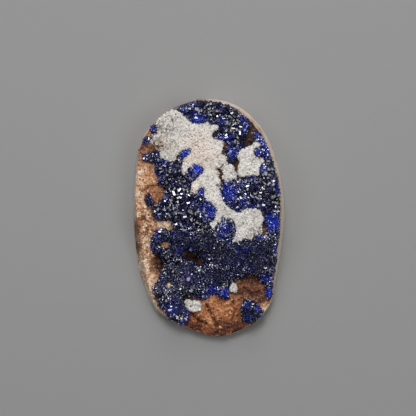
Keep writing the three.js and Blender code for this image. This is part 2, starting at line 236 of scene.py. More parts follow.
def makeRockMaterial():
    # iron-stained silty rock, broken on its face and ground at its sides: matt, mottled from cream to rust,
    # with pale flecks, and painted light and shade on its relief, lighter where it stands out and darker in
    # its hollows
    material, tree, shader = newMaterial("iron_stained_rock")
    coords = addNode(tree, "TexCoord").outputs["Object"]
    patches = addNode(tree, "TexNoise",
                      {"Scale": perMm(rockLook["patchSize"]), "Detail": 4.0, "Roughness": 0.65},
                      {"Vector": coords})
    grains = addNode(tree, "TexNoise",
                     {"Scale": perMm(rockLook["grainSize"]), "Detail": 3.0, "Roughness": 0.75},
                     {"Vector": coords})
    flecks = addNode(tree, "TexNoise",
                     {"Scale": perMm(rockLook["fleckSize"]), "Detail": 3.0, "Roughness": 0.7},
                     {"Vector": coords})
    mottle = addNode(tree, "TexNoise", {"Scale": perMm(rockLook["mottleSize"]), "Detail": 2.0},
                     {"Vector": coords})
    pale = addNode(tree, "Attribute", attribute_name="pale").outputs["Fac"]
    rust = addNode(tree, "Attribute", attribute_name="rust").outputs["Fac"]
    fleck = addNode(tree, "Attribute", attribute_name="fleck").outputs["Fac"]
    bulge = addNode(tree, "Attribute", attribute_name="bulge").outputs["Fac"]
    tone = addNode(tree, "Math", {1: rockLook["patchTone"]}, {0: patches.outputs["Fac"], 2: pale},
                   operation="MULTIPLY_ADD")
    tone = addNode(tree, "Math", {1: rockLook["grainTone"]}, {0: grains.outputs["Fac"], 2: tone.outputs[0]},
                   operation="MULTIPLY_ADD")
    tone = addNode(tree, "Math", {1: rockLook["toneDrop"]}, {0: tone.outputs[0]}, operation="SUBTRACT")
    # painted light and shade: the tone follows how far the face stands out or sinks
    tone = addNode(tree, "Math", {1: rockLook["paintedReliefShade"]}, {0: bulge, 2: tone.outputs[0]},
                   operation="MULTIPLY_ADD")
    mottle = addNode(tree, "MapRange",
                     {"From Min": 0.35, "From Max": 0.65, "To Min": -rockLook["mottleTone"],
                      "To Max": rockLook["mottleTone"]},
                     {"Value": mottle.outputs["Fac"]})
    tone = addNode(tree, "Math", None, {0: mottle.outputs[0], 1: fleck, 2: tone.outputs[0]},
                   operation="MULTIPLY_ADD")
    spot = addNode(tree, "MapRange",
                   {"From Min": 0.53, "From Max": 0.59, "To Min": 0.0, "To Max": rockLook["fleckTone"]},
                   {"Value": flecks.outputs["Fac"]})
    spot = addNode(tree, "Math", None, {0: spot.outputs[0], 1: fleck}, operation="MULTIPLY")
    tone = addNode(tree, "Math", None, {0: tone.outputs[0], 1: spot.outputs[0]}, operation="ADD")
    hue = addNode(tree, "Math", None, {0: rust, 1: spot.outputs[0]}, operation="SUBTRACT", use_clamp=True)
    grey = addNode(tree, "ValToRGB", None, {"Fac": tone.outputs[0]}, rockLook["greyStops"])
    brown = addNode(tree, "ValToRGB", None, {"Fac": tone.outputs[0]}, rockLook["rustStops"])
    colour = addNode(tree, "Mix", None, {0: hue.outputs[0], 6: grey.outputs[0], 7: brown.outputs[0]},
                     data_type="RGBA")
    tree.links.new(colour.outputs[2], shader.inputs["Base Color"])
    shader.inputs["Roughness"].default_value = rockLook["roughness"]
    return material


whiteLook = {
    "coolStops": [(0.0, "#3a332d"), (0.25, "#8e877e"), (0.55, "#cbc6c0"),
                  (0.8, "#e4e1dd"), (1.0, "#f4f2f0")],
    "warmStops": [(0.0, "#4a362b"), (0.25, "#a08d7f"), (0.55, "#d8c8bb"),
                  (0.8, "#ebdfd6"), (1.0, "#f6efe9")],
    "patchSize": 1.9,
    "patchTone": 0.42,
    "grainSize": 0.5,
    "grainTone": 0.25,
    "toneDrop": 0.345,  # about what patches and grains add on average
    "roughness": 0.55,
    "ior": 1.55,
}


def makeWhiteMaterial():
    # sugary carbonate crust: fine pale crystals, soft and grainy, with a cream cast in the middle
    material, tree, shader = newMaterial("sugary_white_crust")
    coords = addNode(tree, "TexCoord").outputs["Object"]
    patches = addNode(tree, "TexNoise",
                      {"Scale": perMm(whiteLook["patchSize"]), "Detail": 4.0, "Roughness": 0.6},
                      {"Vector": coords})
    grains = addNode(tree, "TexNoise",
                     {"Scale": perMm(whiteLook["grainSize"]), "Detail": 2.0, "Roughness": 0.6},
                     {"Vector": coords})
    tint = addNode(tree, "Attribute", attribute_name="tint").outputs["Fac"]
    warm = addNode(tree, "Attribute", attribute_name="warm").outputs["Fac"]
    tone = addNode(tree, "Math", {1: whiteLook["patchTone"]}, {0: patches.outputs["Fac"], 2: tint},
                   operation="MULTIPLY_ADD")
    tone = addNode(tree, "Math", {1: whiteLook["grainTone"]},
                   {0: grains.outputs["Fac"], 2: tone.outputs[0]}, operation="MULTIPLY_ADD")
    tone = addNode(tree, "Math", {1: whiteLook["toneDrop"]}, {0: tone.outputs[0]}, operation="SUBTRACT")
    cool = addNode(tree, "ValToRGB", None, {"Fac": tone.outputs[0]}, whiteLook["coolStops"])
    cream = addNode(tree, "ValToRGB", None, {"Fac": tone.outputs[0]}, whiteLook["warmStops"])
    colour = addNode(tree, "Mix", None, {0: warm, 6: cool.outputs[0], 7: cream.outputs[0]},
                     data_type="RGBA")
    tree.links.new(colour.outputs[2], shader.inputs["Base Color"])
    shader.inputs["Roughness"].default_value = whiteLook["roughness"]
    shader.inputs["IOR"].default_value = whiteLook["ior"]
    return material


azuriteLook = {
    # the last stop is the near-white of a few crystals, partly pale grains and partly painted glints
    "stops": [(0.0, "#030513"), (0.2, "#09103e"), (0.45, "#0d2090"), (0.7, "#1338cb"), (0.9, "#285de2"),
              (1.0, "#d2d2d4")],
    "roughness": 0.16,
    "ior": 1.76,
    "specular": 0.85,
}


def makeAzuriteMaterial():
    # azurite crystals: glassy faces that glint, navy to royal blue body, a little duller where they are
    # finest, and at the end of the ramp a near-white for a few crystals among them, partly pale grains and
    # partly painted glints
    material, tree, shader = newMaterial("azurite_crystal")
    tint = addNode(tree, "Attribute", attribute_name="tint")
    colour = addNode(tree, "ValToRGB", None, {"Fac": tint.outputs["Fac"]}, azuriteLook["stops"])
    tree.links.new(colour.outputs[0], shader.inputs["Base Color"])
    rough = addNode(tree, "Attribute", attribute_name="rough")
    tree.links.new(rough.outputs["Fac"], shader.inputs["Roughness"])
    shader.inputs["IOR"].default_value = azuriteLook["ior"]
    shader.inputs["Specular IOR Level"].default_value = azuriteLook["specular"]
    return material


# small shapes, modelled once, and the places of their copies

def newBlock(name, size):
    # a block with its foot at z = 0
    bpy.ops.object.select_all(action="DESELECT")
    bpy.ops.mesh.primitive_cube_add(size=1, location=(0, 0, 0.5))
    obj = bpy.context.object
    obj.name = name
    obj.scale = size
    bpy.ops.object.transform_apply(location=True, scale=True)
    return obj


def closeShape():
    bpy.ops.mesh.select_all(action="SELECT")
    bpy.ops.mesh.remove_doubles(threshold=0.01)
    bpy.ops.mesh.normals_make_consistent(inside=False)
    bpy.ops.object.mode_set(mode="OBJECT")


def cutShape(name, size, cuts):
    # a block with its upper edges cut off by planes
    obj = newBlock(name, size)
    bpy.ops.object.mode_set(mode="EDIT")
    for point, normal in cuts:
        bpy.ops.mesh.select_all(action="SELECT")
        bpy.ops.mesh.bisect(plane_co=point, plane_no=normal, use_fill=True, clear_outer=True)
    closeShape()
    return obj


def wedgeShape(name, size, width, ridge, lean):
    # a block whose top is drawn together to a share of its width and length, and leans over
    obj = newBlock(name, size)
    bpy.ops.object.mode_set(mode="EDIT")
    bpy.ops.mesh.select_all(action="DESELECT")
    bpy.ops.object.mode_set(mode="OBJECT")
    for vertex in obj.data.vertices:
        vertex.select = vertex.co.z > size[2] / 2
    bpy.ops.object.mode_set(mode="EDIT")
    bpy.ops.transform.resize(value=(width, ridge, 1), center_override=(0, 0, size[2]))
    bpy.ops.transform.translate(value=(lean, 0, 0))
    closeShape()
    return obj


def spreadPoints(obj, rng, perSquareMm, gap, share):
    # random places on the faces, thinned by the share that each face takes, no two nearer than the gap
    mesh = obj.data
    count = len(mesh.polygons)
    centres = np.empty(count * 3)
    normals = np.empty(count * 3)
    areas = np.empty(count)
    mesh.polygons.foreach_get("center", centres)
    mesh.polygons.foreach_get("normal", normals)
    mesh.polygons.foreach_get("area", areas)
    centres = centres.reshape(-1, 3)
    normals = normals.reshape(-1, 3)
    spread = np.sqrt(areas)
    areas = areas * share(centres, normals)
    wanted = int(areas.sum() / mm ** 2 * perSquareMm)
    if wanted == 0:
        return np.empty((0, 3)), np.empty((0, 3))
    tries = wanted * 2
    picks = rng.choice(count, size=tries, p=areas / areas.sum())
    places = centres[picks] + rng.uniform(-0.5, 0.5, (tries, 3)) * spread[picks][:, None]
    cells = {}
    chosen = []
    for i, place in enumerate(places):
        cell = tuple(np.floor(place / (gap * mm)).astype(int))
        near = [cells.get((cell[0] + a, cell[1] + b, cell[2] + c)) for a in (-1, 0, 1) for b in (-1, 0, 1)
                for c in (-1, 0, 1)]
        if any(n is not None and np.linalg.norm(places[n] - place) < gap * mm for n in near):
            continue
        cells[cell] = i
        chosen.append(i)
        if len(chosen) >= wanted:
            break
    return places[chosen], normals[picks][chosen]


def leaningFrames(normals, lean, rng):
    # one turned frame for each place, its third axis along the normal but leaning at random
    axes = normals + lean * rng.normal(size=normals.shape)
    axes /= np.linalg.norm(axes, axis=1, keepdims=True)
    side = np.cross(rng.normal(size=normals.shape), axes)
    side /= np.linalg.norm(side, axis=1, keepdims=True)
    return np.stack([side, np.cross(axes, side), axes], axis=2)


def copiesOf(name, shapes, places, frames, sizes, values, kinds):
    # every place gets a turned and scaled copy of one of the shapes, all in one mesh with the values
    points = []
    faces = []
    counts = []
    first = 0
    shapePoints = [readPoints(shape.data) for shape in shapes]
    shapeFaces = [[tuple(p.vertices) for p in shape.data.polygons] for shape in shapes]
    for place, turned, size, kind in zip(places, frames, sizes, kinds):
        points.append(shapePoints[kind] @ turned.T * size * mm + place)
        faces.extend(tuple(i + first for i in face) for face in shapeFaces[kind])
        counts.append(len(shapePoints[kind]))
        first += len(shapePoints[kind])
    mesh = bpy.data.meshes.new(name)
    mesh.from_pydata(np.concatenate(points), [], faces)
    for key, value in values.items():
        writeValue(mesh, key, np.repeat(value, counts))
    obj = bpy.data.objects.new(name, mesh)
    bpy.context.collection.objects.link(obj)
    return obj


def placesInSpots(tree, spots, rng):
    # random places on the surface, in round spots of x, y, reach in mm and count
    found = [np.empty((0, 3))]
    for x, y, reach, count in spots:
        flat = rng.normal((x, y), reach / 2, (count, 2)) * mm
        heights = [heightUnder(tree, *place) for place in flat]
        found.extend([[(*place, height)] for place, height in zip(flat, heights) if height is not None])
    return np.concatenate(found)


# rock

rock = {
    "voxel": 0.18,
    "crags": (2.2, 1.3),  # size and height in mm
    "lumps": (0.9, 0.55),
    "grit": (0.42, 0.4),
    "grain": (0.2, 0.15),
    "faceSlope": (0.3, 0.7),  # upward share of the normal, from ground side to broken face
    "backEdge": (0.2, 0.8),  # heights in mm over which the unevenness of the sides begins
    "bulgeLimits": (-0.8, 0.6),  # in mm, for the painted light and shade in the tone
    "crumbsPerSquareMm": 6,
    "crumbGap": 0.2,
    "crumbSize": (0.16, 0.42),
    "crumbTone": 0.16,
    "crumbLean": 0.6,
    "crumbSink": 0.3,  # of its size
    "crumbSlope": 0.45,  # no crumbs on steeper faces
    # x, y, reach in mm and count of pale grains
    "whiteSpecks": [
        (-11.9, 7.9, 0.5, 16), (-12.4, 4.3, 0.45, 14), (-11.2, 2.1, 0.3, 9), (-10.9, 0.9, 0.25, 6),
        (1.95, -19.4, 0.2, 4), (-12.2, 6.2, 0.5, 6), (-11.6, -4.0, 0.9, 10), (-11.2, -8.0, 1.0, 12),
        (8.4, 15.6, 1.6, 6), (-7.6, -1.2, 0.5, 8), (-7.6, -4.7, 0.8, 8), (-7.0, -11.9, 0.4, 5),
    ],
    "speckPale": (0.9, 1.2),
    # width and depth of the larger cracks, then their corners, in mm
    "cracks": [
        (0.25, 0.6, (-0.5, -15.6), (0.4, -17.0), (1.0, -18.1), (1.3, -19.0)),
        (0.2, 0.5, (-2.8, -17.2), (-1.6, -18.4), (-0.4, -18.7)),
        (0.2, 0.45, (4.0, -14.6), (4.6, -16.4), (4.0, -18.0)),
        (0.2, 0.4, (1.6, -14.9), (2.8, -15.9), (4.4, -15.4)),
        (0.2, 0.4, (6.2, -12.4), (7.4, -13.4), (9.0, -13.0)),
        (0.2, 0.35, (-12.0, 4.5), (-10.4, 5.5), (-9.0, 5.7)),
        (0.18, 0.35, (-12.2, 12.0), (-11.2, 12.6), (-10.2, 12.2)),
        (0.18, 0.3, (-11.6, 0.2), (-10.8, -1.6), (-11.2, -3.4)),
    ],
    # rock that fills the windows of the main druse nearly to its surface: x, y, reach and height in mm
    "mounds": [(-8.2, -4.8, 0.65, 0.4), (-7.2, -4.7, 0.65, 0.5), (-7.0, -11.9, 0.6, 0.5),
               (3.8, -9.0, 0.45, 0.5), (-7.6, -1.3, 0.8, 0.35)],
    "sideRough": 0.12,  # of the roughness of the broken face
    "sidePale": 1.06,
    "sideRust": 0.32,
    "sideShare": 0.75,  # how far the sides take that look instead of the face's
    "sideFleck": 0.45,
    # x, y, reach and strength of darker parts of the sides, and of those that look as the face beside them
    "darkSides": [(-4.5, 20.0, 5.0, 0.7), (9.6, 15.8, 2.4, 0.25)],
    "likeFace": [(-13.0, -2.0, 4.0, 0.7), (-12.8, -5.2, 3.0, 0.7), (-12.0, -8.5, 4.0, 0.7)],
    "stainSize": 3.5,  # rust that has soaked into the ground sides
    "stainPale": -0.28,
    "stainRust": 0.6,
    "veinSize": 6.5,
    "veinWidth": 0.035,
    "veinPale": -0.2,
    "veinRust": 0.35,
    "rindDepth": 1.8,  # stained more deeply below the natural face, in patches
    "rindPatches": 1.6,
    "rindPale": -0.18,
    "rindRust": 0.42,
    # x, y, reach in mm, then paleness, rustiness, roughness and pale flecks of the bare rock
    "zones": [
        (-11.4, 12.6, 1.8, 0.32, 0.68, 0.7, 0.1),
        (-11.6, 14.6, 1.2, 0.52, 0.90, 0.5, 0.1),
        (-11.7, 7.5, 2.2, 0.60, 0.70, 0.7, 0.35),
        (-10.2, 7.0, 1.2, 0.62, 0.80, 0.3, 0.1),
        (-9.4, 4.2, 1.6, 0.48, 0.78, 0.6, 0.1),
        (-12.6, 3.0, 1.5, 0.60, 0.70, 0.5, 0.5),
        (-11.4, -1.2, 2.0, 0.58, 0.74, 0.9, 0.8),
        (-7.8, -1.2, 1.0, 0.72, 0.75, 0.5, 0.7),
        (-13.3, -1.9, 1.1, 0.06, 0.95, 0.8, 0.05),
        (-13.1, -5.2, 1.2, 0.06, 0.95, 0.6, 0.1),
        (-11.1, -4.0, 0.8, 0.80, 0.52, 0.5, 0.5),
        (-11.4, -5.8, 1.4, 0.60, 0.60, 0.3, 0.7),
        (-11.3, -8.5, 0.8, 0.86, 0.46, 0.4, 0.5),
        (-10.9, -10.5, 2.0, 0.64, 0.56, 0.3, 0.7),
        # painted shade: the hollow at the lower left is drawn dark
        (-9.0, -8.2, 1.4, 0.06, 0.70, 0.9, 0.05),
        (-8.6, -15.8, 1.2, 0.55, 0.60, 0.4, 0.3),
        (1.5, -16.2, 2.6, 0.64, 0.98, 1.1, 0.1),
        # painted shade: the hollow beside the south-west white nub is drawn dark
        (-4.1, -14.2, 0.8, 0.05, 0.70, 0.9, 0.0),
        (-2.3, -18.6, 1.6, 0.28, 0.95, 1.0, 0.0),
        (2.6, -19.6, 2.2, 0.17, 0.88, 0.9, 0.05),
        # reddish rock at the lower right, drawn darker partly as painted shade of the scarp above it
        (7.6, -12.8, 2.6, 0.27, 0.75, 0.9, 0.05),
        (10.0, -16.2, 1.0, 0.70, 0.60, 0.2, 0.3),
        (8.0, 16.3, 2.2, 0.08, 0.45, 0.9, 0.35),
        (13.2, 0.0, 1.6, 0.95, 0.35, 0.1, 0.2),
        (12.6, 9.0, 1.6, 0.95, 0.40, 0.1, 0.2),
        (12.3, -9.0, 1.6, 0.95, 0.35, 0.1, 0.2),
        (10.6, 14.0, 1.0, 0.40, 0.50, 0.3, 0.2),
        (6.6, 19.2, 1.5, 0.90, 0.35, 0.2, 0.2),
        # painted shade: the rock seen through the window below the ledge is drawn dark
        (-2.8, -7.2, 1.6, 0.05, 0.60, 0.8, 0.0),
        (2.0, 7.6, 1.3, 0.20, 0.55, 0.6, 0.0),
        (4.6, 8.9, 0.9, 0.14, 0.50, 0.6, 0.0),
        (3.2, 12.3, 1.0, 0.28, 0.45, 0.6, 0.0),
        (3.8, 6.3, 0.6, 0.35, 0.70, 0.6, 0.0),
        (9.7, -1.8, 0.9, 0.30, 0.45, 0.7, 0.1),
        (-7.7, -4.7, 0.9, 0.52, 0.95, 1.3, 0.4),
        (-7.0, -11.9, 0.7, 0.64, 0.88, 1.2, 0.4),
    ],
}


def zoneValues(points, zones):
    # the four looks of the bare rock at each point, blended from the zones near it
    total = np.zeros((len(points), 4))
    weight = np.full(len(points), 1e-9)
    for x, y, reach, *looks in zones:
        away = np.hypot(points[:, 0] / mm - x, points[:, 1] / mm - y) / reach
        pull = np.exp(-away ** 2) + 0.01 / (1 + away ** 4)  # the last part is for points far from all zones
        total += pull[:, None] * np.array(looks)
        weight += pull
    return (total / weight[:, None]).T


def belowRim(points, side):
    # how far each point lies below the upper edge of the ground side near it, in mm
    sectors = 90
    degrees = np.degrees(np.arctan2(points[:, 1], points[:, 0]))
    sector = np.floor(degrees / (360 / sectors)).astype(int) + sectors // 2
    rim = np.zeros(sectors + 1)
    onSide = side > 0.5
    np.maximum.at(rim, sector[onSide], points[onSide, 2])
    return (rim[sector] - points[:, 2]) / mm


def addCrumbs(obj, rng):
    # broken bits of rock on the bare face, and pale grains where the photo has white specks
    shapes = [
        cutShape("crumb_a", (0.9, 0.7, 0.7),
                 [((0.1, 0, 0.5), (0.7, 0.2, 0.7)), ((-0.2, 0, 0.5), (-0.6, 0.5, 0.6))]),
        cutShape("crumb_b", (0.7, 0.9, 0.6),
                 [((0, 0.2, 0.4), (0.1, 0.7, 0.7)), ((0, -0.2, 0.4), (0.3, -0.7, 0.6))]),
    ]
    crusts = [treeOf(node) for name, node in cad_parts.items() if name != "matrix"]

    def bareFace(centres, normals):
        return np.array([nz > rock["crumbSlope"] and all(heightUnder(tree, x, y) is None for tree in crusts)
                         for (x, y, _), nz in zip(centres, normals[:, 2])], dtype=float)

    places, normals = spreadPoints(obj, rng, rock["crumbsPerSquareMm"], rock["crumbGap"], bareFace)
    pale, rust = zoneValues(places, rock["zones"])[:2]
    pale = pale + rng.normal(0, rock["crumbTone"], len(places))
    specks = placesInSpots(treeOf(obj), rock["whiteSpecks"], rng)
    places = np.concatenate([places, specks])
    normals = np.concatenate([normals, np.tile((0, 0, 1), (len(specks), 1))])
    pale = np.concatenate([pale, rng.uniform(*rock["speckPale"], len(specks))])
    rust = np.concatenate([rust, np.zeros(len(specks))])
    sizes = rng.uniform(*rock["crumbSize"], len(places))
    frames = leaningFrames(normals, rock["crumbLean"], rng)
    places = places - normals * (rock["crumbSink"] * sizes * mm)[:, None]
    blank = np.zeros(len(places))
    values = {"pale": pale, "rust": rust, "fleck": blank, "bulge": blank}
    kinds = rng.integers(0, len(shapes), len(places))
    joinInto(obj, [copiesOf("crumbs", shapes, places, frames, sizes, values, kinds)])
    for shape in shapes:
        bpy.data.objects.remove(shape)


def makeRock(rng):
    obj = copyOfNode("matrix", "rock_matrix")
    applyModifier(obj, "REMESH", mode="VOXEL", voxel_size=rock["voxel"] * mm)
    start = readPoints(obj.data)
    normals = readNormals(obj.data)
    pale, rust, rough, fleck = zoneValues(start, rock["zones"])
    natural = smoothStep(*rock["faceSlope"], normals[:, 2])  # broken face, not the ground sides
    aboveBack = smoothStep(*np.multiply(rock["backEdge"], mm), start[:, 2])
    writeGroup(obj, "rough", natural * rough + rock["sideRough"] * (1 - natural) * aboveBack)
    displace(obj, "rock_crags", *rock["crags"], "rough", "Z", noise_depth=3)
    displace(obj, "rock_lumps", *rock["lumps"], "rough", "Z", noise_depth=2, noise_type="HARD_NOISE")
    displace(obj, "rock_grit", *rock["grit"], "rough", noise_depth=2)
    displace(obj, "rock_grain", *rock["grain"], "rough", noise_depth=1)
    points = readPoints(obj.data)
    mounds = spotValues(points, rock["mounds"]) * mm
    points[:, 2] += natural * (mounds - crackDepths(points, rock["cracks"]))
    points[:, 2] = np.maximum(points[:, 2], 0)
    writePoints(obj.data, points)
    moved = ((points - start) * normals).sum(axis=1) / mm
    side = 1 - natural
    stains = noiseAt(start, rock["stainSize"])
    rind = side * np.exp(-(belowRim(start, side) / rock["rindDepth"]) ** 2)
    rind *= np.clip(1 + rock["rindPatches"] * stains, 0, 2)
    veins = np.exp(-(noiseAt(start, rock["veinSize"]) / rock["veinWidth"]) ** 2)
    sidePale = rock["sidePale"] + rock["rindPale"] * rind
    sidePale = sidePale + rock["stainPale"] * stains + rock["veinPale"] * veins
    sidePale -= spotValues(start, rock["darkSides"]) * (1 + stains)
    sideRust = rock["sideRust"] + rock["rindRust"] * rind
    sideRust = sideRust + rock["stainRust"] * stains + rock["veinRust"] * veins
    # how far the face stands out or sinks, which the material turns into painted light and shade
    writeValue(obj.data, "bulge", np.clip(moved - np.median(moved[natural > 0.5]), *rock["bulgeLimits"]))
    ground = side * (rock["sideShare"] - spotValues(start, rock["likeFace"]))
    writeValue(obj.data, "pale", pale + ground * (sidePale - pale))
    writeValue(obj.data, "rust", rust + ground * (sideRust - rust))
    writeValue(obj.data, "fleck", fleck + ground * (rock["sideFleck"] - fleck))
    addCrumbs(obj, rng)
    finishPiece(obj, "matrix", makeRockMaterial())
    print("rock", len(obj.data.polygons), "faces")
    return obj


# crusts

def sinkUnderside(obj, depth):
    # the foot of a crust goes down into the rock, so that no gap shows
    footSlope = -0.5
    mesh = obj.data
    low = set()
    for polygon in mesh.polygons:
        if polygon.normal.z < footSlope:
            low.update(polygon.vertices)
    for i in low:
        mesh.vertices[i].co.z -= depth * mm


white = {
    "voxel": 0.16,
    "sink": 0.5,
    "swells": (2.0, 0.7),  # size and height in mm
    "lumps": (0.8, 0.5),
    "grit": (0.28, 0.3),
    "evenLumps": 0.45,  # share of that height away from the lumpy parts
    # x, y, reach and strength of the lumpy parts, in mm
    "lumpy": [(-8.2, 15.6, 3.5, 1.6), (7.8, -2.5, 2.0, 0.9), (7.5, 10.5, 2.0, 0.8),
              (-2.6, -15.6, 1.8, 1.3), (4.6, -12.3, 1.2, 1.0)],
    # x, y, reach and strength of the parts with larger, more uneven grains, in mm
    "coarse": [(-8.6, 15.8, 3.0, 1.0), (-9.0, 12.6, 1.6, 1.0), (8.3, -2.2, 2.2, 0.8),
               (7.6, 10.4, 2.4, 0.35), (-2.6, -15.6, 1.8, 0.3), (2.5, 6.5, 2.4, 0.4)],
    # width and depth of the cracks beside the small block and below it, then their corners, in mm
    "cracks": [
        (0.13, 0.45, (1.85, 8.6), (2.15, 8.95), (2.55, 9.4)),
        (0.2, 0.5, (1.35, 8.5), (1.8, 8.35), (2.2, 8.1)),
        (0.12, 0.4, (1.35, 5.75), (1.7, 5.45), (2.1, 5.6)),
        (0.22, 0.45, (3.65, 6.45), (4.35, 6.5)),
    ],
    "crackShade": 1.3,  # painted shade: darker per mm of depth
    "crackWarm": 2.0,  # warmer per mm of depth
    "crackClear": 0.1,  # no grains where a crack is deeper
    "swell": 0.17,  # grown out over the gap to its neighbours
    "rim": (0.5, 0.4),  # ragged margin
    "rimSlope": (0.3, 0.9),  # upward share of the normal, from margin to top
    "nubRounding": 4,
    "tint": 0.63,
    "leastTint": 0.2,
    "grainsPerSquareMm": 17,
    "grainGap": 0.14,
    "grainSize": (0.16, 0.36),
    "grainLean": 0.5,
    "grainSink": 0.35,  # of its size
    "grainSlope": 0.2,  # no grains on steeper faces
    "grainTint": (0.42, 0.88),
    "coarseSize": 0.7,  # larger by this share
    "coarseSpread": 0.13,
    "darkShare": 0.022,  # of the grains, dark specks
    "darkInWarm": -0.8,  # fewer there, by this share
    "darkInCoarse": 2.0,  # more there
    "darkTint": 0.18,
    # x, y, reach and strength of the cream cast and of the greyer parts, in mm
    "warm": [(-1.6, 11.4, 3.2, 0.9), (-3.0, 5.5, 1.6, 0.5), (-8.9, 12.8, 1.3, 0.9)],
    "grey": [(-8.6, 15.4, 2.2, 0.13), (-8.9, 12.8, 1.2, 0.42), (-7.0, 12.4, 1.6, 0.14),
             (-6.0, 17.0, 1.5, 0.1), (-1.6, 11.4, 3.2, 0.06), (8.3, -2.0, 2.0, 0.14)],
}

whiteNodes = ["white_crust_main", "white_crust_east", "white_nub_south_west", "white_nub_south_east"]


def makeWhiteCrusts(rng):
    material = makeWhiteMaterial()
    grains = [
        cutShape("grain_a", (0.8, 0.7, 0.8),
                 [((0.1, 0, 0.6), (0.7, 0.2, 0.7)), ((-0.2, 0, 0.6), (-0.6, 0.5, 0.6))]),
        cutShape("grain_b", (0.7, 0.9, 0.7),
                 [((0, 0.2, 0.5), (0.1, 0.7, 0.7)), ((0, -0.2, 0.5), (0.3, -0.7, 0.6))]),
    ]
    trees = []

    def offCracks(centres, normals):
        shallow = crackDepths(centres, white["cracks"]) < white["crackClear"] * mm
        return (normals[:, 2] > white["grainSlope"]) * shallow

    for node in whiteNodes:
        obj = copyOfNode(node, node.replace("white", "pale"))
        sinkUnderside(obj, white["sink"])
        applyModifier(obj, "REMESH", mode="VOXEL", voxel_size=white["voxel"] * mm)
        if "nub" in node:
            applyModifier(obj, "SMOOTH", factor=0.5, iterations=white["nubRounding"])
        applyModifier(obj, "DISPLACE", strength=white["swell"] * mm, mid_level=0)
        writeGroup(obj, "rim", 1 - smoothStep(*white["rimSlope"], readNormals(obj.data)[:, 2]))
        displace(obj, node + "_rim", *white["rim"], "rim", noise_depth=1)
        lumpy = spotValues(readPoints(obj.data), white["lumpy"])
        writeGroup(obj, "lumpy", np.maximum(white["evenLumps"], lumpy))
        for key in ("swells", "lumps", "grit"):
            displace(obj, node + "_" + key, *white[key], "lumpy")
        points = readPoints(obj.data)
        depths = crackDepths(points, white["cracks"])
        points[:, 2] -= depths
        writePoints(obj.data, points)
        trees.append(treeOf(obj))
        # painted shade in the cracks: the crust is drawn darker the deeper it is cut
        tints = white["tint"] - spotValues(points, white["grey"]) - white["crackShade"] * depths / mm
        writeValue(obj.data, "tint", np.maximum(tints, white["leastTint"]))
        crustWarm = np.maximum(spotValues(points, white["warm"]), white["crackWarm"] * depths / mm)
        writeValue(obj.data, "warm", crustWarm)
        places, normals = spreadPoints(obj, rng, white["grainsPerSquareMm"], white["grainGap"], offCracks)
        frames = leaningFrames(normals, white["grainLean"], rng)
        coarse = spotValues(places, white["coarse"])
        sizes = rng.uniform(*white["grainSize"], len(places)) * (1 + white["coarseSize"] * coarse)
        tints = rng.uniform(*white["grainTint"], len(places)) - spotValues(places, white["grey"])
        tints += rng.normal(0, white["coarseSpread"], len(places)) * coarse
        warm = spotValues(places, white["warm"])
        darkShare = white["darkShare"] * (1 + white["darkInWarm"] * warm)
        darkShare = darkShare * (1 + white["darkInCoarse"] * coarse)
        tints = np.where(rng.random(len(places)) < darkShare, white["darkTint"], tints)
        places = places - normals * (white["grainSink"] * sizes * mm)[:, None]
        values = {"tint": tints, "warm": warm}
        kinds = rng.integers(0, len(grains), len(places))
        joinInto(obj, [copiesOf(node + "_grains", grains, places, frames, sizes, values, kinds)])
        finishPiece(obj, node, material)
        print(obj.name, len(places), "grains,", len(obj.data.polygons), "faces")
    for grain in grains:
        bpy.data.objects.remove(grain)
    return trees


